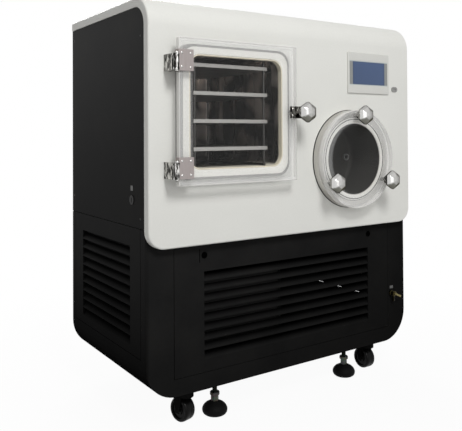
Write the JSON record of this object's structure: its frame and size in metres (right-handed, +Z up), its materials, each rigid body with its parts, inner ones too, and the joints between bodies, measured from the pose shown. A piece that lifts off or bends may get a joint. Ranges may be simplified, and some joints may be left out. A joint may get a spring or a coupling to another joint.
{
  "type": "freeze dryer",
  "caption": "Pilot freeze dryer: hooded steel cabinet with a clear-doored shelf chamber, a round cold trap with a clear lid, a touch panel, castors and levelling feet.",
  "frame": {"origin": "middle of the bounding box, on the floor under the wheels and feet", "axes": "+Z up, -Y towards the front, +X to the right seen from the front"},
  "size_m": [1.144, 0.758, 1.338],
  "materials": {
    "white_paint": "satin white powder coat",
    "black_paint": "satin black powder coat",
    "stainless": "brushed",
    "polished_steel": "polished",
    "zinc_plate": "zinc plated",
    "brass": "machined",
    "silicone": "matt off-white",
    "black_rubber": "matt",
    "black_plastic": "matt",
    "grey_plastic": "fine matt",
    "display_glass": "smooth",
    "clear_acrylic": "clear"
  },
  "bodies": {
    "cabinet": {"base_frame": "black_paint", "inner_frame": "zinc_plate", "hood": "white_paint", "side_panel_lower_left": "black_paint", "side_panel_lower_right": "black_paint", "side_panel_upper_left": "black_paint", "side_panel_upper_right": "black_paint", "rear_panel": "black_paint", "drying_chamber": "stainless", "chamber_seal": "silicone", "shelf_1": "stainless", "shelf_2": "stainless", "shelf_3": "stainless", "shelf_4": "stainless", "shelf_rack": "stainless", "oil_supply_pipe": "zinc_plate", "oil_return_pipe": "zinc_plate", "hinge_bracket_lower": "stainless", "hinge_pin_lower": "polished_steel", "hinge_bracket_upper": "stainless", "hinge_pin_upper": "polished_steel", "clamp_boss": "polished_steel", "cold_trap": "stainless", "trap_seal": "silicone", "panel_bezel": "grey_plastic", "panel_screen": "display_glass", "data_port": "black_plastic", "drain_valve": "brass", "compressor": "black_paint", "condenser": "zinc_plate"},
    "chamber_door": {"door_panel": "clear_acrylic", "hinge_leaf_lower": "stainless", "hinge_leaf_upper": "stainless", "clamp_lug": "stainless"},
    "door_clamp_knob": {"clamp_knob": "polished_steel"},
    "trap_lid": {"trap_door": "clear_acrylic"},
    "trap_lid_knob_1": {"trap_knob_1": "polished_steel"},
    "trap_lid_knob_2": {"trap_knob_2": "polished_steel"},
    "trap_lid_knob_3": {"trap_knob_3": "polished_steel"},
    "lower_front_panel": {"front_panel": "black_paint"},
    "panel_latch_left": {"front_latch_left": "black_plastic"},
    "panel_latch_right": {"front_latch_right": "black_plastic"},
    "side_panel_latch": {"side_latch": "black_plastic"},
    "drain_handle": {"drain_lever": "brass"},
    "castor_front_left": {"castor_fork_front_left": "black_paint"},
    "wheel_front_left": {"castor_wheel_front_left": "black_plastic"},
    "foot_front_left": {"foot_pad_front_left": "black_rubber", "foot_stud_front_left": "zinc_plate"},
    "castor_front_right": {"castor_fork_front_right": "black_paint"},
    "wheel_front_right": {"castor_wheel_front_right": "black_plastic"},
    "foot_front_right": {"foot_pad_front_right": "black_rubber", "foot_stud_front_right": "zinc_plate"},
    "castor_rear_left": {"castor_fork_rear_left": "black_paint"},
    "wheel_rear_left": {"castor_wheel_rear_left": "black_plastic"},
    "foot_rear_left": {"foot_pad_rear_left": "black_rubber", "foot_stud_rear_left": "zinc_plate"},
    "castor_rear_right": {"castor_fork_rear_right": "black_paint"},
    "wheel_rear_right": {"castor_wheel_rear_right": "black_plastic"},
    "foot_rear_right": {"foot_pad_rear_right": "black_rubber", "foot_stud_rear_right": "zinc_plate"}
  },
  "joints": [
    {"name": "chamber_door_swing", "type": "hinge", "parent": "cabinet", "child": "chamber_door", "pos_m": [-0.5085, -0.335, 0.97], "axis": [0, 0, -1], "range_deg": [0, 110]},
    {"name": "door_clamp_knob_turn", "type": "hinge", "parent": "chamber_door", "child": "door_clamp_knob", "pos_m": [-0.023, -0.343, 0.988], "axis": [0, 1, 0], "continuous": true},
    {"name": "trap_lid_lift_off", "type": "slide", "parent": "cabinet", "child": "trap_lid", "axis": [0, -1, 0], "range_m": [0, 0.12]},
    {"name": "trap_lid_knob_1_turn", "type": "hinge", "parent": "trap_lid", "child": "trap_lid_knob_1", "pos_m": [0.248, -0.343, 0.982], "axis": [0, 1, 0], "continuous": true},
    {"name": "trap_lid_knob_2_turn", "type": "hinge", "parent": "trap_lid", "child": "trap_lid_knob_2", "pos_m": [0.11117, -0.343, 0.745], "axis": [0, 1, 0], "continuous": true},
    {"name": "trap_lid_knob_3_turn", "type": "hinge", "parent": "trap_lid", "child": "trap_lid_knob_3", "pos_m": [0.38483, -0.343, 0.745], "axis": [0, 1, 0], "continuous": true},
    {"name": "front_panel_lift_off", "type": "slide", "parent": "cabinet", "child": "lower_front_panel", "axis": [0, -1, 0], "range_m": [0, 0.1]},
    {"name": "panel_latch_left_turn", "type": "hinge", "parent": "lower_front_panel", "child": "panel_latch_left", "pos_m": [-0.362, -0.246, 0.534], "axis": [0, 1, 0], "range_deg": [0, 90]},
    {"name": "panel_latch_right_turn", "type": "hinge", "parent": "lower_front_panel", "child": "panel_latch_right", "pos_m": [0.37, -0.246, 0.534], "axis": [0, 1, 0], "range_deg": [0, 90]},
    {"name": "side_panel_latch_turn", "type": "hinge", "parent": "cabinet", "child": "side_panel_latch", "pos_m": [-0.57, -0.158, 0.714], "axis": [1, 0, 0], "range_deg": [0, 90]},
    {"name": "drain_handle_turn", "type": "hinge", "parent": "cabinet", "child": "drain_handle", "pos_m": [0.494, -0.27, 0.293], "axis": [0, -1, 0], "range_deg": [0, 90]},
    {"name": "castor_front_left_swivel", "type": "hinge", "parent": "cabinet", "child": "castor_front_left", "pos_m": [-0.4, -0.191, 0.06], "axis": [0, 0, 1], "continuous": true},
    {"name": "wheel_front_left_roll", "type": "hinge", "parent": "castor_front_left", "child": "wheel_front_left", "pos_m": [-0.40362, -0.17748, 0.03867], "axis": [0.9659, 0.2588, 0], "continuous": true},
    {"name": "castor_front_right_swivel", "type": "hinge", "parent": "cabinet", "child": "castor_front_right", "pos_m": [0.417, -0.191, 0.06], "axis": [0, 0, 1], "continuous": true},
    {"name": "wheel_front_right_roll", "type": "hinge", "parent": "castor_front_right", "child": "wheel_front_right", "pos_m": [0.417, -0.177, 0.03867], "axis": [1, 0, 0], "continuous": true},
    {"name": "castor_rear_left_swivel", "type": "hinge", "parent": "cabinet", "child": "castor_rear_left", "pos_m": [-0.34, 0.306, 0.06], "axis": [0, 0, 1], "continuous": true},
    {"name": "wheel_rear_left_roll", "type": "hinge", "parent": "castor_rear_left", "child": "wheel_rear_left", "pos_m": [-0.34, 0.32, 0.03867], "axis": [1, 0, 0], "continuous": true},
    {"name": "castor_rear_right_swivel", "type": "hinge", "parent": "cabinet", "child": "castor_rear_right", "pos_m": [0.34, 0.306, 0.06], "axis": [0, 0, 1], "continuous": true},
    {"name": "wheel_rear_right_roll", "type": "hinge", "parent": "castor_rear_right", "child": "wheel_rear_right", "pos_m": [0.34, 0.32, 0.03867], "axis": [1, 0, 0], "continuous": true},
    {"name": "foot_front_left_level", "type": "slide", "parent": "cabinet", "child": "foot_front_left", "axis": [0, 0, 1], "range_m": [-0.02, 0.03]},
    {"name": "foot_front_right_level", "type": "slide", "parent": "cabinet", "child": "foot_front_right", "axis": [0, 0, 1], "range_m": [-0.02, 0.03]},
    {"name": "foot_rear_left_level", "type": "slide", "parent": "cabinet", "child": "foot_rear_left", "axis": [0, 0, 1], "range_m": [-0.02, 0.03]},
    {"name": "foot_rear_right_level", "type": "slide", "parent": "cabinet", "child": "foot_rear_right", "axis": [0, 0, 1], "range_m": [-0.02, 0.03]}
  ]
}
